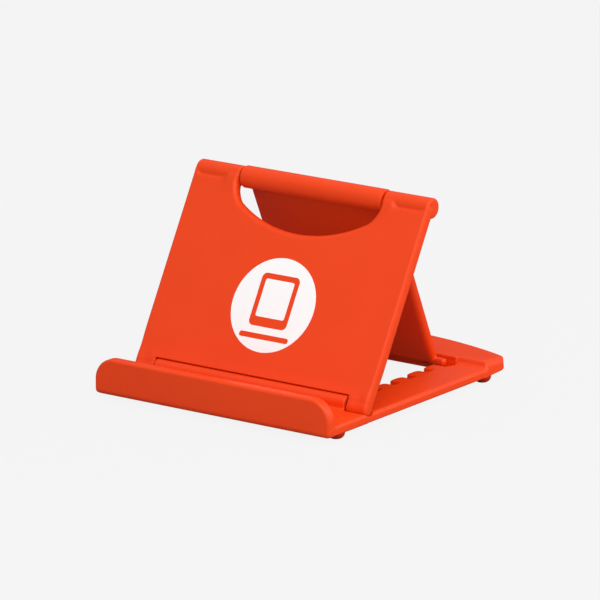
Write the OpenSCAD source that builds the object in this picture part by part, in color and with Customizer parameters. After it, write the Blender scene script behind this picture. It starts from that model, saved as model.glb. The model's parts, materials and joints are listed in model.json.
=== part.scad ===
// Folding tablet stand.
// A base tray with a front lip, a window and stepped rails carries a backrest on a front
// hinge.  A leg hinged behind the top of the backrest stands with its two side pegs in
// the rearmost step of the rails.
// X runs across the width, Y from the front lip to the rear, Z up from the table.
// The origin is under the middle of the base.

/* [Base] */
// Width of the base
base_w = 102; // [98:1:108]
// Depth of the base along its middle
base_d = 120.5; // [118:0.5:126]
// Thickness of the rails on each side of the window
rail_t = 3.3; // [3:0.1:3.6]
// Height of the lip's top above the table
lip_top = 15.5; // [13:0.5:18]
// Thickness of the lip
lip_t = 4.4; // [3.6:0.1:5]
// Radius of the lip's upper corners
lip_corner_r = 8.5; // [5:0.5:10]
// Width of the window between the rails
window_w = 62.8; // [62.4:0.1:64]
// Height of the rear tab's front edge above the table
tab_top = 8.1; // [7.4:0.1:9]
// Radius of the rear edge, seen from above
rear_r = 120; // [100:5:150]

/* [Backrest] */
// Angle between the backrest's face and the table
lean = 60.3; // [58:0.1:61]
// Distance between the two hinge axes, along the backrest
backrest_l = 74.1; // [73:0.1:75]
// Width of the backrest
backrest_w = 101.6; // [96:0.2:101.6]
// Thickness of the backrest
backrest_t = 4.4; // [4:0.1:4.6]
// Radius of the hinge barrels at the top
top_barrel_r = 3.7; // [3.5:0.1:4]
// Radius of the finger opening's lower edge
finger_r = 52.3; // [48:0.5:60]
// Distance from the lower hinge axis to the bottom of the finger opening
finger_bottom = 56.2; // [54:0.1:58]

/* [Leg] */
// Length of the leg, from its hinge axis to the foot
leg_l = 73.8; // [73:0.1:74.4]
// Thickness of the leg
leg_t = 4.2; // [3.4:0.1:4.4]
// Width of the leg at its hinge
leg_w = 61.4; // [58:0.2:61.8]

/* [Steps] */
// Distance from one step to the next
step_pitch = 10.4; // [9:0.1:11]
// Number of sloped steps in front of the rearmost one
step_count = 4; // [2:1:4]
// Depth of a step below the rail's top
step_depth = 1.5; // [1:0.1:1.6]

/* [Rods and feet] */
// Radius of the two hinge rods
rod_r = 1.25; // [1:0.05:1.3]
// Height of the rubber feet
foot_h = 2.5; // [2:0.1:3]
// Radius of the rubber feet
foot_r = 3.2; // [2.8:0.1:3.4]

/* [Hidden] */
$fn = 96;

eps = 0.01;          // overlap that joins two solids
cut = 1;             // how far a cutter reaches past the surface that it cuts
root = 1;            // how far a grown part reaches into the part that carries it
running_gap = 0.05;  // radial play of a rod in a turning barrel
barrel_gap = 0.6;    // gap between neighbouring barrels on one axis
sweep_gap = 0.5;     // gap round a part that turns inside another part
stop_gap = 0.3;      // gap between the leg and the step it stands in

plastic = "orangered";
rubber = "firebrick";
steel = "silver";

// heights of the base
ledge_rise = 0.3;
rail_top = foot_h + rail_t;
ledge_top = rail_top + ledge_rise;
step_floor = rail_top - step_depth;
lip_low_r = 2;

// lower hinge
knuckle_r = 3;
knuckle_w = 83.4;
axis1_y = 25.1;
axis1_rise = 1.85;
axis1_z = ledge_top + axis1_rise;
lower_ear_x = knuckle_w / 2 + barrel_gap;
knuckle_front = axis1_y - knuckle_r;
window_front = axis1_y - 0.5;

// upper hinge, in the backrest's own frame: u up the plate, v out of its face
face_v = backrest_t / 2;
axis2_v = face_v - top_barrel_r;
axis2_y = axis1_y + backrest_l * cos(lean) - axis2_v * sin(lean);
axis2_z = axis1_z + backrest_l * sin(lean) + axis2_v * cos(lean);
leg_barrel_r = top_barrel_r + 0.35;
upper_ear_x = leg_w / 2 + barrel_gap;
finger_corner_r = 4;

// leg at rest: its foot stands just above the floor of the rearmost step
foot_gap = 0.2;
leg_foot_z = step_floor + foot_gap;
leg_slope = asin((axis2_z - leg_foot_z) / leg_l);
leg_foot_y = axis2_y + leg_l * cos(leg_slope);
leg_taper = 1;
leg_low_x = leg_w / 2 - leg_taper;
leg_spare_l = 4;
foot_l = 2.6;
leg_back = leg_foot_y + foot_l;
tab_front = leg_back + stop_gap;

// pegs on both sides of the foot
peg_l = 4.7;
peg_h = 2.5;
peg_depth = 3;
peg_end_x = leg_low_x + peg_l;

// steps, and the wider front of the window where the pegs lie when the stand is folded
step_side_gap = 1.1;
rear_step_side_gap = 3.1;
step_w = peg_end_x + step_side_gap - window_w / 2;
rear_step_w = peg_end_x + rear_step_side_gap - window_w / 2;
ramp_l = 3.9;
rear_step_flat = peg_depth + 0.4;
rear_step_extra = 1.3;
peg_store_x = peg_end_x + sweep_gap;
peg_store_end = axis1_y + 5;

// rear tab
tab_slope_l = 1.6;
tab_fall = 1.1;
tab_edge_t = 2.8;
tab_rise_start = tab_front + 5.8;
tab_corner_r = 2;

// dips in the face at the top, where the hinge ears show as round barrels
ear_dip_x = 36.8;
ear_dip_w = 9.8;
ear_dip_u = backrest_l - 2.6;

// leg recess in the back of the backrest
leg_recess = 0.95;
leg_recess_gap = 0.7;
leg_recess_w = leg_w + 2 * leg_recess_gap;

// rods are pushed in from the left and stop short of the closed right ears
rod_inset = 0.4;
rod_cap = 2;

// feet
foot_x = base_w / 2 - 3.6;
foot_front_y = 9.5;
foot_rear_y = tab_front + 2.4;
stem_r = 1.6;
stem_l = 1.8;
foot_round = 1.4;

// ---------- frames ----------

// from a frame that starts at the lip's front face to the middle of the base
module centred() {
    translate([0, -base_d / 2, 0]) children();
}

// X across, Y up the plate, Z out of its face, origin on the lower hinge axis
module on_backrest() {
    translate([0, axis1_y, axis1_z]) rotate([lean, 0, 0]) children();
}

// X across, Y from the leg's hinge axis down to the foot, Z away from the backrest
module on_leg() {
    translate([0, axis2_y, axis2_z]) rotate([-leg_slope, 0, 0]) children();
}

// cylinder along X that is centred on the middle of the stand
module barrel(r, w) {
    rotate([0, 90, 0]) cylinder(r = r, h = w, center = true);
}

// cylinder along X between two positions
module barrel_between(r, x0, x1) {
    translate([x0, 0, 0]) rotate([0, 90, 0]) cylinder(r = r, h = x1 - x0);
}

// side profile, drawn as [Y, Z] points, extruded across a width
module across(w) {
    rotate([90, 0, 90]) linear_extrude(height = w, center = true) children();
}

// both mirror images in X
module both_sides() {
    for (side = [0, 1]) mirror([side, 0, 0]) children();
}

// ---------- base ----------

// outline seen from above
module base_outline() {
    corner_x = base_w / 2 - tab_corner_r;
    arc_y = base_d - rear_r;
    corner_y = arc_y + sqrt(pow(rear_r - tab_corner_r, 2) - pow(corner_x, 2));
    tangent_x = corner_x * rear_r / (rear_r - tab_corner_r);
    translate([-base_w / 2, 0]) square([base_w, corner_y]);
    for (side = [-1, 1]) translate([side * corner_x, corner_y]) circle(r = tab_corner_r);
    intersection() {
        translate([0, arc_y]) circle(r = rear_r, $fn = 360);
        translate([-tangent_x, 0]) square([2 * tangent_x, base_d]);
    }
}

// side profile of rails, ledge and rear tab; the tab rises over a slope
module base_profile(rise_l) {
    rear_top = tab_top - tab_fall;
    polygon([
        [0, foot_h],
        [tab_rise_start, foot_h],
        [base_d, rear_top - tab_edge_t],
        [base_d, rear_top],
        [tab_front + rise_l, tab_top],
        [tab_front, rail_top],
        [knuckle_front, rail_top],
        [knuckle_front, ledge_top],
        [0, ledge_top]
    ]);
}

// lip seen from the front, with round upper and lower corners
module lip_outline() {
    low_x = base_w / 2 - lip_low_r;
    high_x = base_w / 2 - lip_corner_r;
    mid_z = lip_top - lip_corner_r;
    translate([-low_x, foot_h]) square([2 * low_x, mid_z - foot_h]);
    translate([-base_w / 2, foot_h + lip_low_r]) square([base_w, mid_z - foot_h - lip_low_r]);
    translate([-high_x, mid_z - eps]) square([2 * high_x, lip_corner_r + eps]);
    for (side = [-1, 1]) translate([side * low_x, foot_h + lip_low_r]) circle(r = lip_low_r);
    intersection() {
        for (side = [-1, 1]) translate([side * high_x, mid_z]) circle(r = lip_corner_r);
        translate([-base_w / 2, mid_z - eps]) square([base_w, 2 * lip_corner_r]);
    }
}

module lip() {
    translate([0, lip_t, 0]) rotate([90, 0, 0]) linear_extrude(height = lip_t) lip_outline();
}

module window() {
    translate([-window_w / 2, window_front, 0])
        cube([window_w, tab_front - window_front, tab_top + cut]);
    translate([-peg_store_x, window_front, 0])
        cube([2 * peg_store_x, peg_store_end - window_front, rail_top + cut]);
}

// sloped floor that ends at an upright wall, cut into one rail
module step_cut(wall_y, w, flat_l) {
    top = tab_top + cut;
    translate([window_w / 2 - eps + w / 2, 0, 0])
        across(w)
            polygon([
                [wall_y, step_floor],
                [wall_y, top],
                [wall_y - flat_l - ramp_l, top],
                [wall_y - flat_l - ramp_l, rail_top],
                [wall_y - flat_l, step_floor]
            ]);
}

module step_cuts() {
    for (i = [1 : step_count]) step_cut(tab_front - rear_step_extra - i * step_pitch, step_w, 0);
    step_cut(tab_front, rear_step_w, rear_step_flat);
}

// hinge knuckle with an upright front, standing on the ledge
module knuckle() {
    translate([0, axis1_y, axis1_z]) barrel(knuckle_r, knuckle_w);
    translate([-knuckle_w / 2, knuckle_front, ledge_top - root])
        cube([knuckle_w, window_front - knuckle_front, axis1_z - ledge_top + root]);
}

module foot_places() {
    for (y = [foot_front_y, foot_rear_y]) both_sides() translate([foot_x, y, foot_h]) children();
}

module base_frame() {
    color(plastic) centred() difference() {
        union() {
            difference() {
                intersection() {
                    linear_extrude(height = lip_top) base_outline();
                    union() {
                        across(base_w + cut) base_profile(tab_slope_l);
                        across(window_w + 2 * rear_step_w) base_profile(0);
                    }
                }
                window();
                both_sides() step_cuts();
                both_sides() translate([0, axis1_y, axis1_z])
                    barrel_between(knuckle_r + sweep_gap, knuckle_w / 2, base_w / 2 + cut);
            }
            lip();
            knuckle();
        }
        translate([0, axis1_y, axis1_z]) barrel(rod_r + running_gap, knuckle_w + cut);
        foot_places() translate([0, 0, -eps]) cylinder(r = stem_r, h = stem_l + eps);
    }
}

// ---------- backrest ----------

// opening under the upper hinge: a shallow arc with round corners and upright sides
module finger_outline() {
    arc_u = finger_bottom + finger_r;
    corner_x = upper_ear_x - finger_corner_r;
    inner_r = finger_r - finger_corner_r;
    corner_u = arc_u - sqrt(pow(inner_r, 2) - pow(corner_x, 2));
    tangent_x = corner_x * finger_r / inner_r;
    above = backrest_l + top_barrel_r + cut;
    translate([-upper_ear_x, corner_u]) square([2 * upper_ear_x, above - corner_u]);
    for (side = [-1, 1]) translate([side * corner_x, corner_u]) circle(r = finger_corner_r);
    intersection() {
        translate([0, arc_u]) circle(r = finger_r, $fn = 360);
        translate([-tangent_x, finger_bottom - cut])
            square([2 * tangent_x, above - finger_bottom + cut]);
    }
}

module backrest_plate() {
    translate([-backrest_w / 2, 0, -face_v]) cube([backrest_w, backrest_l, backrest_t]);
}

module backrest_panel() {
    half = backrest_w / 2;
    rod_end = half - rod_cap;
    color(plastic) centred() on_backrest() difference() {
        union() {
            difference() {
                backrest_plate();
                barrel(knuckle_r + sweep_gap, 2 * lower_ear_x);
                both_sides() translate([ear_dip_x, ear_dip_u, -backrest_t])
                    cube([ear_dip_w, backrest_l, 2 * backrest_t]);
                translate([-leg_recess_w / 2, -cut, -face_v - cut])
                    cube([leg_recess_w, backrest_l, leg_recess + cut]);
            }
            both_sides() barrel_between(knuckle_r, lower_ear_x, half);
            both_sides() translate([0, backrest_l, axis2_v])
                barrel_between(top_barrel_r, upper_ear_x, half);
        }
        translate([0, 0, -backrest_t]) linear_extrude(height = 2 * backrest_t) finger_outline();
        barrel_between(rod_r, -half - cut, rod_end);
        translate([0, backrest_l, axis2_v]) barrel_between(rod_r, -half - cut, rod_end);
    }
}

// ---------- leg ----------

module leg_plate() {
    top_x = leg_w / 2;
    low_v = leg_l + leg_spare_l;
    translate([0, 0, leg_barrel_r - leg_t]) linear_extrude(height = leg_t)
        polygon([[-top_x, 0], [top_x, 0], [leg_low_x, low_v], [-leg_low_x, low_v]]);
}

// space in front of the tab's wall and above the step's floor
module leg_space() {
    translate([-base_w / 2, 0, leg_foot_z]) cube([base_w, leg_back, 2 * axis2_z]);
}

module peg() {
    translate([leg_low_x - root, leg_back - peg_depth, leg_foot_z])
        cube([peg_l + root, peg_depth, peg_h]);
}

module prop_leg() {
    color(plastic) centred() difference() {
        union() {
            intersection() {
                on_leg() leg_plate();
                leg_space();
            }
            translate([0, axis2_y, axis2_z]) barrel(leg_barrel_r, leg_w);
            both_sides() peg();
        }
        translate([0, axis2_y, axis2_z]) barrel(rod_r + running_gap, leg_w + cut);
    }
}

// ---------- rods and feet ----------

module hinge_rod() {
    barrel_between(rod_r, rod_inset - backrest_w / 2, backrest_w / 2 - rod_cap);
}

module top_hinge_rod() {
    color(steel) centred() translate([0, axis2_y, axis2_z]) hinge_rod();
}

module bottom_hinge_rod() {
    color(steel) centred() translate([0, axis1_y, axis1_z]) hinge_rod();
}

// flat-bottomed button with a stem that is pushed into the base
module foot(side, y) {
    color(rubber) centred() translate([side * foot_x, y, 0]) {
        rotate_extrude() {
            square([foot_r - foot_round, foot_h]);
            translate([0, foot_round]) square([foot_r, foot_h - foot_round]);
            translate([foot_r - foot_round, foot_round]) circle(r = foot_round);
        }
        translate([0, 0, foot_h - eps]) cylinder(r = stem_r, h = stem_l + eps);
    }
}

module foot_front_left() {
    foot(-1, foot_front_y);
}

module foot_front_right() {
    foot(1, foot_front_y);
}

module foot_rear_left() {
    foot(-1, foot_rear_y);
}

module foot_rear_right() {
    foot(1, foot_rear_y);
}

base_frame();
backrest_panel();
prop_leg();
top_hinge_rod();
bottom_hinge_rod();
foot_front_left();
foot_front_right();
foot_rear_left();
foot_rear_right();
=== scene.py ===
"""Looks of the folding tablet stand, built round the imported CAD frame.

The moulded parts and the feet are signed distance fields in millimetres, with true fillets. Each
is meshed on a grid whose lines are close together only where the shape needs them."""

import json
import math

import bpy
import numpy as np
from mathutils import Matrix, Vector


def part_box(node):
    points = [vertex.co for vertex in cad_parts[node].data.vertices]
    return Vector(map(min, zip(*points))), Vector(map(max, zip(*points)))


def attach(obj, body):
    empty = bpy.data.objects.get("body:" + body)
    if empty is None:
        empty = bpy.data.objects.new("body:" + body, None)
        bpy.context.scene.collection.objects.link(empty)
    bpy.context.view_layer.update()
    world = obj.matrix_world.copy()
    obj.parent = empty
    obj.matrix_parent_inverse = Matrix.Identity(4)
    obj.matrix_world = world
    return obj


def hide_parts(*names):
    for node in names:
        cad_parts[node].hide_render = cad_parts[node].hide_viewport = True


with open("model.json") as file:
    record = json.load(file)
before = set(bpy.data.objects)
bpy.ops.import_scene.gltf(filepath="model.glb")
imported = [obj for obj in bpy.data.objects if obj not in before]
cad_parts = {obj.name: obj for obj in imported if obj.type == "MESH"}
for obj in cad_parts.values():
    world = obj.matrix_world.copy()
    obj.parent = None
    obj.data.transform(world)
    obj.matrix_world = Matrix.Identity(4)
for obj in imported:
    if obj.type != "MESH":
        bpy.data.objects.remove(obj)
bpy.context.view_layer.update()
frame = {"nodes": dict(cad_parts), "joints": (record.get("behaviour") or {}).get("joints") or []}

# ---------- sizes in millimetres; boxes and hinge axes come from the frame ----------

MM = 0.001


def mm_box(node):
    low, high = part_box(node)
    return np.array(low) / MM, np.array(high) / MM


joints = {joint["name"]: joint for joint in frame["joints"]}
AXIS_1 = np.array(joints["backrest_hinge"]["pos_m"]) / MM
AXIS_2 = np.array(joints["leg_hinge"]["pos_m"]) / MM
base_low, base_high = mm_box("base_frame")
panel_high = mm_box("backrest_panel")[1]
leg_low, leg_high = mm_box("prop_leg")
rod_low, rod_high = mm_box("top_hinge_rod")
foot_low, foot_high = mm_box("foot_front_left")

FRONT = base_low[1]
REAR = base_high[1]
HALF_W = base_high[0]
UNDERSIDE = base_low[2]
LIP_TOP = base_high[2]
PANEL_HALF_W = panel_high[0]
PEG_END = leg_high[0]
LEG_FLOOR = leg_low[2]
LEG_BACK = leg_high[1]
ROD_R = (rod_high[2] - rod_low[2]) / 2
FOOT_R = (foot_high[0] - foot_low[0]) / 2
LEAN = math.radians(60.3)

# play of a rod in a barrel that turns on it
PLAY = 0.05

# base: lip, ledge and rails; the lip reaches a little lower than the rest
LIP_T = 4.4
LIP_DROP = 0.5
LIP_TOP_R, LIP_LOW_R = 8.1, 2.0
LIP_EDGE_R, LIP_BELLY_R = 1.1, 2.2
LEDGE_TOP = 6.1
RAIL_TOP = 5.8
LOW_EDGE_R = 0.7
INSIDE_LIP = 2
WINDOW_HALF_W = 31.4
PEG_ROOM = 0.5

# base: hinge knuckle
KNUCKLE_R = 3.0
KNUCKLE_HALF_W = 41.7
EAR_ROOM = 0.45

# base: rear tab, which rises by a short slope behind the rails; slopes as cosine and sine
TAB_FRONT = LEG_BACK + 0.3
TAB_TOP = 8.1
TAB_SLOPE_L, TAB_RAMP_L = 1.6, 2.8
TAB_ARC_R = 120
TAB_WALL_L, TAB_WALL_HALF_W = 6, 37.5
TAB_LOW_START = 5.8
TAB_FALL, TAB_LIFT = (0.9988, 0.0497), (0.9955, 0.0946)
TAB_INSET, TAB_DRAFT = 0.1, 0.12
TAB_CORNER_R, TAB_TOP_R = 2.0, 2.2

# base: the steps, each with its wall at the rear: flat floor, sloped floor, room beside the peg
STEP_FLOOR = 4.3
REAR_STEP = (3.4, 1.8, 3.1)
FRONT_STEP = (0, 3.9, 1.1)
STEP_WALLS = [TAB_FRONT - 1.3 - 10.4 * i for i in range(1, 5)]

# backrest, in its own frame: u up the plate, v out of its face
FACE_V = 2.2
TOP_SWELL, LOW_SWELL = 0.35, 0.25
DIP_X, DIP_U, DIP_FLOOR_V = (36.6, 49.4), (71.8, 90), -2.9
# the rounding of the plate's edges reaches 1.8 times further down the flank than across the face
PLATE_EDGE_R, FLANK_SLOPE = 1.6, 1.8
FLANK_SPREAD = 0.2
KNUCKLE_ROOM, LOW_EAR_GROWTH = 0.33, 0.4
BARREL_R = 3.7
EAR_GAP = 0.6
FINGER_ARC_R, FINGER_LOW_U, FINGER_CORNER_R = 52.3, 56.2, 4
RECESS, RECESS_GAP = 0.95, 0.7
ROD_CAP = 2
UP = np.array([0, math.cos(LEAN), math.sin(LEAN)])
OUT = np.array([0, -math.sin(LEAN), math.cos(LEAN)])
BARREL_U = float((AXIS_2 - AXIS_1) @ UP)
BARREL_V = float((AXIS_2 - AXIS_1) @ OUT)

# leg, in its own frame: w down the leg, n away from the backrest
LEG_L = 73.8
LEG_BARREL_R = 4.05
LEG_T = 4.2
LEG_HALF_W = 30.7
LEG_TAPER = 0.5 / LEG_L
FOOT_LIFT = 0.3
PEG_DEPTH, PEG_H = 3, 2.8
LEG_SLOPE = math.asin((AXIS_2[2] - LEG_FLOOR) / LEG_L)
DOWN = np.array([0, math.cos(LEG_SLOPE), -math.sin(LEG_SLOPE)])
BACK = np.array([0, math.sin(LEG_SLOPE), math.cos(LEG_SLOPE)])

# feet
FOOT_ROOT = 3
FOOT_DOME_R = 2.3

# ---------- distance fields ----------


def within(value, low, high):
    """Distance outside the slab from low to high."""
    return np.abs(value - (low + high) / 2) - (high - low) / 2


def solid(faces, r=0.0):
    """Space behind every face, with its edges rounded to radius r."""
    pushed = np.stack(np.broadcast_arrays(*faces)) + r
    return np.sqrt((np.maximum(pushed, 0) ** 2).sum(0)) + np.minimum(pushed.max(0), 0) - r


def join(a, b, r=0.0):
    """Both bodies as one, with a fillet of radius r where they meet."""
    return -solid([-a, -b], r)


def carve(a, b, r=0.0):
    """Body a without body b, with the new edges rounded to radius r."""
    return solid([a, -b], r)


def rod_field(p, q, centre_p, centre_q, r):
    """Distance to an endless cylinder along X."""
    return np.hypot(p - centre_p, q - centre_q) - r


def tilted(rise, run, cosine, sine):
    """Distance above a plane that falls away along run, by the cosine and sine of its slope."""
    return rise * cosine + run * sine


# ---------- base ----------


def tray_field(side, y, z, axis_y, tab_y):
    """The ledge behind the lip, and the rails."""
    ledge_box = solid([side - HALF_W, within(y, INSIDE_LIP, axis_y - 1), z - LEDGE_TOP], 1.2)
    low_edges = solid([side - HALF_W, UNDERSIDE - z], LOW_EDGE_R)
    rail_section = np.maximum(solid([side - HALF_W, z - RAIL_TOP], 1.3), low_edges)
    rails = solid([rail_section, within(y, INSIDE_LIP, tab_y + 1.4)], 0.3)
    return join(np.maximum(ledge_box, low_edges), rails, 0.3)


def tab_field(x, y, z, tab_y, depth):
    """The raised tab at the rear, with a curved rear edge, and the wall that stops the leg."""
    side = np.abs(x)
    inset = TAB_INSET + TAB_DRAFT * (z - UNDERSIDE)
    arc = np.hypot(x, y - depth + TAB_ARC_R) - TAB_ARC_R
    outline = solid([side - HALF_W + inset, arc], TAB_CORNER_R)
    top = tilted(z - TAB_TOP, y - tab_y - TAB_SLOPE_L, *TAB_FALL)
    bottom = tilted(UNDERSIDE - z, y - tab_y - TAB_LOW_START, *TAB_LIFT)
    height = TAB_TOP - RAIL_TOP
    ramp = tilted(z - RAIL_TOP, tab_y - y, TAB_SLOPE_L / TAB_RAMP_L, height / TAB_RAMP_L)
    tab = solid([outline, top, UNDERSIDE - z, bottom, ramp, tab_y - 1 - y], 0.7)
    tab = np.maximum(tab, solid([side - HALF_W + inset, top], TAB_TOP_R))
    reach = within(y, tab_y, tab_y + TAB_WALL_L)
    wall = solid([outline, top, UNDERSIDE - z, reach, side - TAB_WALL_HALF_W], 0.6)
    return join(tab, wall)


def step_field(side, y, z, wall_y, shape):
    """The space of one step, whose floor slopes up from its flat part to the rail's top."""
    flat, run, room = shape
    depth = RAIL_TOP - STEP_FLOOR
    length = math.hypot(run, depth)
    slope = tilted(STEP_FLOOR - z, wall_y - flat - y, run / length, depth / length)
    return solid([y - wall_y, np.maximum(STEP_FLOOR - z, slope), side - PEG_END - room], 0.5)


def lip_field(side, y, z):
    """The upright lip, with large corners at the top and a rounded lower front."""
    low = UNDERSIDE - LIP_DROP - z
    top_corners = solid([side - HALF_W, z - LIP_TOP], LIP_TOP_R)
    low_corners = solid([side - HALF_W, low], LIP_LOW_R)
    lip = solid([np.maximum(top_corners, low_corners), within(y, 0, LIP_T)], LIP_EDGE_R)
    return np.maximum(lip, solid([low, -y], LIP_BELLY_R))


def knuckle_field(side, y, z, axis_y, axis_z):
    """The barrel that the lower rod turns in, on its upright foot."""
    barrel = solid([rod_field(y, z, axis_y, axis_z, KNUCKLE_R), side - KNUCKLE_HALF_W], 0.4)
    front = np.hypot(y - axis_y, np.maximum(z - axis_z, 0)) - KNUCKLE_R
    upright = solid([front, y - axis_y + 0.5, UNDERSIDE + 1 - z, side - KNUCKLE_HALF_W], 0.4)
    return np.minimum(barrel, upright)


def base_field(x, y, z):
    """The whole tray: y is counted from its front, and both sides are alike."""
    y = y - FRONT
    side = np.abs(x)
    axis_y, axis_z = AXIS_1[1] - FRONT, AXIS_1[2]
    tab_y = TAB_FRONT - FRONT

    body = tray_field(side, y, z, axis_y, tab_y)
    body = join(body, tab_field(x, y, z, tab_y, REAR - FRONT), 1.0)

    window = solid([side - WINDOW_HALF_W, within(y, axis_y - 0.5, tab_y)], 0.6)
    store = solid([side - PEG_END - PEG_ROOM, within(y, axis_y - 0.5, axis_y + 5)], 0.6)
    body = carve(body, join(window, store, 0.4), 0.5)

    body = carve(body, step_field(side, y, z, tab_y, REAR_STEP), 0.8)
    for wall_y in STEP_WALLS:
        body = carve(body, step_field(side, y, z, wall_y - FRONT, FRONT_STEP), 0.8)

    body = join(body, lip_field(side, y, z), 0.6)
    body = join(body, knuckle_field(side, y, z, axis_y, axis_z), 1.2)

    ear_round = rod_field(y, z, axis_y, axis_z, KNUCKLE_R + EAR_ROOM)
    ear_end = solid([ear_round, side - PANEL_HALF_W - PLAY], 0.95)
    body = carve(body, solid([ear_end, KNUCKLE_HALF_W - side], 0.2), 0.05)
    return carve(body, rod_field(y, z, axis_y, axis_z, ROD_R + PLAY), 0.1)


# ---------- backrest ----------


def finger_field(x, u):
    """The opening under the upper hinge: a shallow arc between upright sides."""
    arc = np.hypot(x, u - FINGER_LOW_U - FINGER_ARC_R) - FINGER_ARC_R
    return solid([np.abs(x) - LEG_HALF_W - EAR_GAP, arc], FINGER_CORNER_R)


def ease(value, start, end):
    """0 before start, 1 after end and smooth between them; start may be the larger."""
    t = np.clip((value - start) / (end - start), 0, 1)
    return t * t * (3 - 2 * t)


def face_height(side, u):
    """The face swells a little beside the dips, towards the hinge ears."""
    top = ease(side, 38.0, 35.2) * ease(u, 65.5, 72.5)
    low = np.maximum(ease(side, 46.2, 43.8), ease(side, 47.2, 49.2)) * ease(u, 6.5, 2.0)
    return FACE_V + TOP_SWELL * top + LOW_SWELL * low


def panel_field(x, u, v):
    """The backrest: plate, lower ears, upper ears, finger opening, leg recess and rod bores."""
    side = np.abs(x)
    low_ear_x = KNUCKLE_HALF_W + EAR_GAP
    low_round = np.hypot(u, v) - KNUCKLE_R

    slab = np.maximum(v - face_height(side, u), -FACE_V - v)
    flank = (side - PANEL_HALF_W - FLANK_SPREAD * ease(u, 6.0, 14.0)) * FLANK_SLOPE
    plate = solid([flank, slab, within(u, 0, BARREL_U)], PLATE_EDGE_R)
    dip = solid([within(side, *DIP_X), within(u, *DIP_U), DIP_FLOOR_V - v], 2.2)
    plate = carve(plate, dip, 1.4)
    plate = carve(plate, solid([low_round - KNUCKLE_ROOM, side - low_ear_x], 0.2), 0.4)

    ear_round = low_round - LOW_EAR_GROWTH
    low_ear = solid([ear_round, slab, within(side, low_ear_x, PANEL_HALF_W)], 0.6)
    side_edge = solid([flank, slab, ear_round], PLATE_EDGE_R)
    body = join(plate, solid([low_ear, side_edge]), 0.2)

    top_round = np.hypot(u - BARREL_U, v - BARREL_V)
    top_ear = solid([top_round - BARREL_R, within(side, LEG_HALF_W + EAR_GAP, PANEL_HALF_W)], 0.8)
    body = join(body, top_ear, 0.6)
    rim_r = 0.5 + 1.6 * ease(u, 76.5, 69.5)
    body = carve(body, finger_field(x, u), rim_r)

    recess_face = v + FACE_V - RECESS
    recess = solid([side - LEG_HALF_W - RECESS_GAP, u - BARREL_U, recess_face], 0.5)
    body = carve(body, recess, 0.4)
    rod_end = x - PANEL_HALF_W + ROD_CAP
    for rod_round in (np.hypot(u, v), top_round):
        body = carve(body, solid([rod_round - ROD_R, rod_end]), 0.1)
    return body


# ---------- leg ----------


def leg_field(x, w, n):
    """The prop leg: a slightly tapered plate, the upper barrel and the two pegs."""
    side = np.abs(x)
    y = AXIS_2[1] + w * DOWN[1] + n * BACK[1]
    z = AXIS_2[2] + w * DOWN[2] + n * BACK[2]
    edge = side - LEG_HALF_W + LEG_TAPER * w
    thickness = within(n, LEG_BARREL_R - LEG_T, LEG_BARREL_R)
    plate = solid([edge, thickness, within(w, 0, LEG_L + 20)], 2.0)
    plate = solid([plate, LEG_FLOOR + FOOT_LIFT - z, y - LEG_BACK], 1.2)
    barrel = solid([np.hypot(w, n) - LEG_BARREL_R, side - LEG_HALF_W], 0.4)
    body = join(plate, barrel, 0.5)
    peg_y = within(y, LEG_BACK - PEG_DEPTH, LEG_BACK)
    peg_z = within(z, LEG_FLOOR, LEG_FLOOR + PEG_H)
    peg = solid([within(side, LEG_HALF_W - 3, PEG_END), peg_y, peg_z], 1.1)
    body = join(body, peg, 0.5)
    return carve(body, np.hypot(w, n) - ROD_R - PLAY, 0.1)


# ---------- feet ----------


def foot_field(x, y, z):
    """A button with a domed underside, whose top is hidden in the base."""
    return solid([np.hypot(x, y) - FOOT_R, within(z, 0, UNDERSIDE + FOOT_ROOT)], FOOT_DOME_R)


# ---------- meshing ----------


def rule(low, high, coarse, fine, zones):
    """Grid positions from low to high: fine steps inside the zones and coarse ones between them."""
    stops = sorted({low, high, *(end for zone in zones for end in zone)})
    runs = []
    for start, end in zip(stops, stops[1:]):
        step = fine if any(a <= start and end <= b for a, b in zones) else coarse
        runs.append(np.linspace(start, end, max(1, math.ceil((end - start) / step)), endpoint=False))
    return np.concatenate([*runs, [high]])


def mirrored(zones):
    """The zones and their mirror images about 0."""
    return zones + [(-b, -a) for a, b in zones]


def gradient(field, points):
    """The field's slope at each point, by central differences."""
    h = 0.004
    slopes = []
    for axis in range(3):
        step = np.zeros(3)
        step[axis] = h
        slopes.append((field(*(points + step).T) - field(*(points - step).T)) / (2 * h))
    return np.stack(slopes, 1)


# how vertices settle on the surface; the least slope keeps a move finite where the field is flat
SETTLING_STEPS, LONGEST_MOVE, LEAST_SLOPE_SQUARED = 5, 0.4, 0.3


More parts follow.
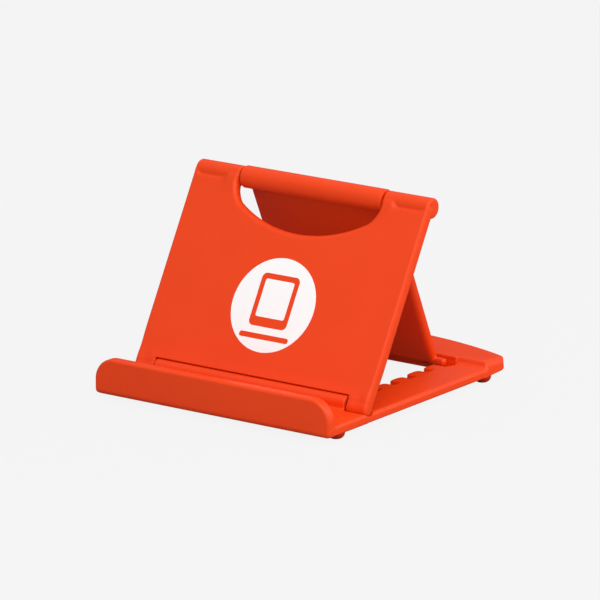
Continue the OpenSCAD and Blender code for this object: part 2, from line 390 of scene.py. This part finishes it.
def surface_net(field, rulers):
    """Vertices, quads and normals of the field's zero surface: one vertex in each grid cell that
    the surface crosses, moved onto the surface itself."""
    d = field(*np.meshgrid(*rulers, indexing="ij"))
    cells = np.array(d.shape) - 1
    sums, counts, quads = np.zeros((cells.prod(), 3)), np.zeros(cells.prod()), []
    for axis in range(3):
        first, second = (axis + 1) % 3, (axis + 2) % 3
        a = np.take(d, range(cells[axis]), axis)
        b = np.take(d, range(1, cells[axis] + 1), axis)
        at = np.stack(np.nonzero((a < 0) != (b < 0)), 1)
        inside, outside = a[tuple(at.T)], b[tuple(at.T)]
        point = np.stack([rulers[i][at[:, i]] for i in range(3)], 1)
        length = rulers[axis][at[:, axis] + 1] - rulers[axis][at[:, axis]]
        point[:, axis] += length * inside / (inside - outside)
        ring = []
        for back_1, back_2 in ((1, 1), (0, 1), (0, 0), (1, 0)):
            cell = at.copy()
            cell[:, first] -= back_1
            cell[:, second] -= back_2
            flat = np.ravel_multi_index(cell.T, cells)
            ring.append(flat)
            counts += np.bincount(flat, minlength=len(counts))
            for i in range(3):
                sums[:, i] += np.bincount(flat, point[:, i], len(counts))
        ring = np.stack(ring, 1)
        quads.append(np.where((inside < 0)[:, None], ring, ring[:, ::-1]))
    used = np.nonzero(counts)[0]
    number = np.zeros(len(counts), int)
    number[used] = np.arange(len(used))
    points = sums[used] / counts[used, None]
    for _ in range(SETTLING_STEPS):
        slope = gradient(field, points)
        steepness = np.maximum((slope**2).sum(1), LEAST_SLOPE_SQUARED)
        move = slope * (field(*points.T) / steepness)[:, None]
        length = np.maximum(np.linalg.norm(move, axis=1), 1e-9)
        points -= move * np.minimum(1, LONGEST_MOVE / length)[:, None]
    normals = gradient(field, points)
    normals /= np.linalg.norm(normals, axis=1)[:, None]
    return points, number[np.concatenate(quads)], normals


def mould(name, field, rulers, origin, axes):
    """The field's surface as a mesh object; axes are the field's directions in the CAD frame."""
    points, quads, normals = surface_net(field, rulers)
    turn = np.array(axes)
    mesh = bpy.data.meshes.new(name)
    mesh.from_pydata(((points @ turn + origin) * MM).tolist(), [], quads.tolist())
    mesh.shade_smooth()
    mesh.normals_split_custom_set_from_vertices((normals @ turn).tolist())
    piece = bpy.data.objects.new(name, mesh)
    bpy.context.scene.collection.objects.link(piece)
    return piece


ACROSS = np.array([1.0, 0, 0])
CAD_AXES = [ACROSS, [0, 1, 0], [0, 0, 1]]


# grid steps, and how far a grid reaches past the shape
FINE, COARSE, MARGIN = 0.5, 2.0, 0.6
THIN_STEP, PAD_STEP = 0.4, 0.3


def make_base():
    half = HALF_W + MARGIN
    step_zones = [(wall_y - 4.6, wall_y + 0.7) for wall_y in STEP_WALLS]
    front_zones = [(FRONT - MARGIN, FRONT + 6), (FRONT + 20.5, FRONT + 31.5)]
    y_zones = [*front_zones, *step_zones, (TAB_FRONT - 8.4, REAR + MARGIN)]
    low, high = UNDERSIDE - LIP_DROP - 0.5, LIP_TOP + MARGIN
    rulers = [
        rule(-half, half, 1.6, FINE, mirrored([(30.2, 38.6), (40.8, half)])),
        rule(FRONT - MARGIN, REAR + MARGIN, 1.6, FINE, y_zones),
        rule(low, high, 0.8, THIN_STEP, [(low, 11.6), (13.4, high)]),
    ]
    return mould("base_tray", base_field, rulers, np.zeros(3), CAD_AXES)


def make_panel():
    half = PANEL_HALF_W + MARGIN
    top = BARREL_U + 4.4
    rulers = [
        rule(-half, half, 1.6, FINE, mirrored([(29.2, 38.4), (40.8, half)])),
        rule(-3.8, top, COARSE, FINE, [(-3.8, 6.2), (54.4, top)]),
        rule(BARREL_V - BARREL_R - MARGIN, KNUCKLE_R + MARGIN, THIN_STEP, THIN_STEP, []),
    ]
    return mould("backrest_shell", panel_field, rulers, AXIS_1, [ACROSS, UP, OUT])


def make_leg():
    half = PEG_END + MARGIN
    top, foot = -BARREL_R - MARGIN, LEG_L + 5.6
    rulers = [
        rule(-half, half, COARSE, FINE, mirrored([(26.6, half)])),
        rule(top, foot, COARSE, FINE, [(top, 5), (LEG_L - 7, foot)]),
        rule(top, -top, THIN_STEP, THIN_STEP, []),
    ]
    return mould("leg_shell", leg_field, rulers, AXIS_2, [ACROSS, DOWN, BACK])


def make_foot(node):
    low, high = mm_box(node)
    reach = FOOT_R + 0.4
    across = rule(-reach, reach, PAD_STEP, PAD_STEP, [])
    height = rule(-0.4, UNDERSIDE + FOOT_ROOT + 0.4, PAD_STEP, PAD_STEP, [])
    centre = (low + high) / 2 * (1, 1, 0)
    return mould(node + "_pad", foot_field, [across, across, height], centre, CAD_AXES)


# ---------- printed disc ----------


def print_loop(centre, half_w, half_h, corner, steps=10):
    """A rounded rectangle as points round its outline."""
    points = []
    for quarter in range(4):
        sx, sy = [(1, 1), (-1, 1), (-1, -1), (1, -1)][quarter]
        for i in range(steps + 1):
            angle = math.pi / 2 * (quarter + i / steps)
            points.append(
                (
                    centre[0] + sx * (half_w - corner) + corner * math.cos(angle),
                    centre[1] + sy * (half_h - corner) + corner * math.sin(angle),
                )
            )
    return points


def make_print():
    """White disc of ink with a plain pictogram of a tablet on a stand left open in it."""
    disc_u, disc_r, ink_t = 28.9, 17.5, 0.04
    curve = bpy.data.curves.new("print_disc", "CURVE")
    curve.dimensions = "2D"
    curve.fill_mode = "BOTH"
    curve.extrude = ink_t * MM / 2
    outline = print_loop((0, 0), disc_r, disc_r, disc_r, 36)
    tablet = print_loop((0, 1.5), 8.2, 9.8, 2.0)
    screen = print_loop((0, 2.2), 6.2, 7.0, 0.8)
    shelf = print_loop((0, -11.9), 10.6, 1.0, 0.9)
    for loop in (outline, tablet, screen, shelf):
        spline = curve.splines.new("POLY")
        spline.points.add(len(loop) - 1)
        for point, (x, u) in zip(spline.points, loop):
            point.co = (x * MM, u * MM, 0, 1)
        spline.use_cyclic_u = True
    shaped = bpy.data.objects.new("print_curve", curve)
    bpy.context.scene.collection.objects.link(shaped)
    bpy.context.view_layer.update()
    mesh = bpy.data.meshes.new_from_object(shaped)
    bpy.data.objects.remove(shaped)
    place = AXIS_1 + UP * disc_u + OUT * (FACE_V + ink_t / 2)
    turn = Matrix((ACROSS, UP, OUT)).transposed().to_4x4()
    mesh.transform(Matrix.Translation(Vector(place) * MM) @ turn)
    piece = bpy.data.objects.new("print_disc", mesh)
    bpy.context.scene.collection.objects.link(piece)
    return piece


# ---------- materials ----------


def shader(name, **values):
    """A new material with one Principled shader, and functions that add nodes to it and feed it."""
    material = bpy.data.materials.new(name)
    material.use_nodes = True
    tree = material.node_tree
    principled = tree.nodes["Principled BSDF"]
    for socket, value in values.items():
        principled.inputs[socket.replace("_", " ")].default_value = value

    def add(kind, inputs, **settings):
        made = tree.nodes.new(kind)
        for key, value in settings.items():
            setattr(made, key, value)
        for key, value in inputs.items():
            if isinstance(value, bpy.types.NodeSocket):
                tree.links.new(value, made.inputs[key])
            else:
                made.inputs[key].default_value = value
        return made

    def feed(socket, output):
        tree.links.new(output, principled.inputs[socket])

    return material, add, feed


def noise(add, where, scale, detail=3.0, rough=0.5):
    inputs = {"Vector": where, "Scale": scale, "Detail": detail, "Roughness": rough}
    return add("ShaderNodeTexNoise", inputs).outputs["Fac"]


def spread(add, value, low, high, start=0.3, end=0.7):
    inputs = {"Value": value, "From Min": start, "From Max": end, "To Min": low, "To Max": high}
    return add("ShaderNodeMapRange", inputs).outputs["Result"]


def blend(add, factor, a, b):
    made = add("ShaderNodeMix", {}, data_type="RGBA")
    for index, value in ((0, factor), (6, a), (7, b)):
        socket = made.inputs[index]
        if isinstance(value, bpy.types.NodeSocket):
            socket.id_data.links.new(value, socket)
        else:
            socket.default_value = value
    return made.outputs[2]


def moulded_plastic():
    material, add, feed = shader("orange_plastic", Specular_IOR_Level=0.3)
    where = add("ShaderNodeTexCoord", {}).outputs["Object"]
    mottle = noise(add, where, 45, 2)
    colour = blend(add, mottle, (0.80, 0.048, 0.001, 1), (0.86, 0.055, 0.002, 1))
    # painted highlight: convex edges, picked out by pointiness, are lightened towards a brighter orange
    edge = add("ShaderNodeNewGeometry", {}).outputs["Pointiness"]
    edge_highlight = spread(add, edge, 0.0, 0.25, 0.52, 0.6)
    colour = blend(add, edge_highlight, colour, (0.90, 0.07, 0.01, 1))
    feed("Base Color", colour)
    feed("Roughness", spread(add, noise(add, where, 160, 4), 0.40, 0.50))
    grain = noise(add, where, 2600, 2, 0.6)
    bump = add("ShaderNodeBump", {"Height": grain, "Strength": 0.12, "Distance": 0.00004})
    feed("Normal", bump.outputs["Normal"])
    return material


def foot_rubber():
    material, add, feed = shader("foot_rubber", Specular_IOR_Level=0.12)
    where = add("ShaderNodeTexCoord", {}).outputs["Object"]
    feed("Base Color", blend(add, noise(add, where, 300), (0.50, 0.016, 0.002, 1), (0.58, 0.022, 0.003, 1)))
    feed("Roughness", spread(add, noise(add, where, 700), 0.6, 0.75))
    bump = add("ShaderNodeBump", {"Height": noise(add, where, 1800), "Strength": 0.2, "Distance": 0.00005})
    feed("Normal", bump.outputs["Normal"])
    return material


def rod_steel():
    material, add, feed = shader("steel", Metallic=1.0)
    where = add("ShaderNodeTexCoord", {}).outputs["Object"]
    drawn = add("ShaderNodeMapping", {"Vector": where, "Scale": (20, 3000, 3000)}).outputs["Vector"]
    lines = noise(add, drawn, 1.0)
    feed("Base Color", blend(add, lines, (0.5, 0.5, 0.51, 1), (0.66, 0.66, 0.67, 1)))
    feed("Roughness", spread(add, lines, 0.25, 0.42))
    return material


def white_ink():
    material, add, feed = shader("print_white", Specular_IOR_Level=0.4)
    where = add("ShaderNodeTexCoord", {}).outputs["Object"]
    feed("Base Color", blend(add, noise(add, where, 400), (0.93, 0.93, 0.93, 1), (0.97, 0.97, 0.965, 1)))
    feed("Roughness", spread(add, noise(add, where, 900), 0.5, 0.62))
    bump = add("ShaderNodeBump", {"Height": noise(add, where, 3000), "Strength": 0.1, "Distance": 0.00003})
    feed("Normal", bump.outputs["Normal"])
    return material


# ---------- studio ----------


def make_floor():
    """A paper floor that shows almost white, but lights the object less and is dark in reflections."""
    material, add, feed = shader("floor_paper", Roughness=0.9, Specular_IOR_Level=0.1)
    where = add("ShaderNodeTexCoord", {}).outputs["Object"]
    feed("Base Color", blend(add, noise(add, where, 60), (0.50, 0.50, 0.50, 1), (0.52, 0.52, 0.52, 1)))
    tree = material.node_tree
    rays = add("ShaderNodeLightPath", {}).outputs
    glow = add("ShaderNodeEmission", {"Color": (0.925, 0.925, 0.925, 1)}).outputs["Emission"]
    dark = add("ShaderNodeBsdfDiffuse", {"Color": (0.03, 0.03, 0.03, 1)}).outputs["BSDF"]
    paper = tree.nodes["Principled BSDF"].outputs["BSDF"]
    seen = add("ShaderNodeMixShader", {0: rays["Is Glossy Ray"], 1: paper, 2: dark}).outputs[0]
    shown = add("ShaderNodeMath", {0: rays["Is Camera Ray"], 1: 0.95}, operation="MULTIPLY").outputs[0]
    mixed = add("ShaderNodeMixShader", {0: shown, 1: seen, 2: glow}).outputs[0]
    tree.links.new(mixed, tree.nodes["Material Output"].inputs["Surface"])
    mesh = bpy.data.meshes.new("floor")
    reach = 6.0
    corners = [(-reach, -reach, 0), (reach, -reach, 0), (reach, reach, 0), (-reach, reach, 0)]
    mesh.from_pydata(corners, [], [(0, 1, 2, 3)])
    mesh.materials.append(material)
    floor = bpy.data.objects.new("floor", mesh)
    bpy.context.scene.collection.objects.link(floor)


# brightness of the sky at the horizon and straight up, the lamps' power in watts, and their aim
SKY_LOW, SKY_HIGH = 0.49, 0.66
KEY_POWER, SIDE_POWER, RIM_POWER = 6.1, 4.3, 1.0
LAMP_AIM = Vector((0, 0, 0.03))


def area_light(name, place, size, power):
    light = bpy.data.lights.new(name, "AREA")
    light.shape = "DISK"
    light.size = size
    light.energy = power
    lamp = bpy.data.objects.new(name, light)
    lamp.location = place
    lamp.rotation_euler = (LAMP_AIM - place).to_track_quat("-Z", "Y").to_euler()
    bpy.context.scene.collection.objects.link(lamp)


def make_studio():
    """Three soft lamps and a pale sky, which is darker near the horizon in reflections."""
    scene = bpy.context.scene
    world = bpy.data.worlds.new("studio")
    world.use_nodes = True
    tree = world.node_tree
    where = tree.nodes.new("ShaderNodeTexCoord")
    height = tree.nodes.new("ShaderNodeSeparateXYZ")
    level = tree.nodes.new("ShaderNodeMapRange")
    tree.links.new(where.outputs["Generated"], height.inputs["Vector"])
    tree.links.new(height.outputs["Z"], level.inputs["Value"])
    level.inputs["To Min"].default_value, level.inputs["To Max"].default_value = SKY_LOW, SKY_HIGH
    dusk = tree.nodes.new("ShaderNodeMapRange")
    tree.links.new(height.outputs["Z"], dusk.inputs["Value"])
    dusk.inputs["From Min"].default_value, dusk.inputs["From Max"].default_value = 0.2, 0.6
    dusk.inputs["To Max"].default_value = SKY_HIGH
    rays = tree.nodes.new("ShaderNodeLightPath")
    pick = tree.nodes.new("ShaderNodeMix")
    tree.links.new(rays.outputs["Is Glossy Ray"], pick.inputs["Factor"])
    tree.links.new(level.outputs["Result"], pick.inputs["A"])
    tree.links.new(dusk.outputs["Result"], pick.inputs["B"])
    tree.links.new(pick.outputs["Result"], tree.nodes["Background"].inputs["Strength"])
    tree.nodes["Background"].inputs["Color"].default_value = (1, 1, 1, 1)
    scene.world = world
    area_light("key", Vector((0.384, -0.514, 0.75)) * 1.07, 0.95, KEY_POWER)
    area_light("side", Vector((0.75, 0.25, 0.6)) * 1.07, 0.8, SIDE_POWER)
    area_light("rim", Vector((0.62, 0.72, 0.34)), 0.6, RIM_POWER)
    scene.view_settings.view_transform = "Standard"


def make_camera():
    azimuth, elevation = math.radians(36.05), math.radians(15.18)
    distance, lens, sensor_w = 2.149, 363.24, 36
    right = Vector((math.cos(azimuth), math.sin(azimuth), 0))
    level = Vector((-math.sin(azimuth), math.cos(azimuth), 0))
    away = level * math.cos(elevation) - Vector((0, 0, math.sin(elevation)))
    up = right.cross(away)
    target = Vector((0, -0.01025, 0.020))
    aim_right, aim_up = 0.00211, 0.0130
    data = bpy.data.cameras.new("camera")
    data.sensor_width = sensor_w
    data.lens = lens
    data.clip_start, data.clip_end = 0.05, 60
    camera = bpy.data.objects.new("camera", data)
    camera.location = target - away * distance
    aim = target + right * aim_right + up * aim_up
    camera.rotation_euler = (aim - camera.location).to_track_quat("-Z", "Y").to_euler()
    bpy.context.scene.collection.objects.link(camera)
    bpy.context.scene.camera = camera


# ---------- assembly ----------


def coat(piece, material):
    piece.data.materials.clear()
    piece.data.materials.append(material)


plastic, rubber, steel, ink = moulded_plastic(), foot_rubber(), rod_steel(), white_ink()

for piece, body, node in (
    (make_base(), "base", "base_frame"),
    (make_panel(), "backrest", "backrest_panel"),
    (make_leg(), "leg", "prop_leg"),
):
    coat(piece, plastic)
    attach(piece, body)
    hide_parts(node)

disc = make_print()
coat(disc, ink)
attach(disc, "backrest")

for name, node in frame["nodes"].items():
    if name.startswith("foot_"):
        pad = make_foot(name)
        coat(pad, rubber)
        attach(pad, "base")
        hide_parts(name)
    if name.endswith("_rod"):
        coat(node, steel)

make_floor()
make_studio()
make_camera()

bpy.context.view_layer.update()
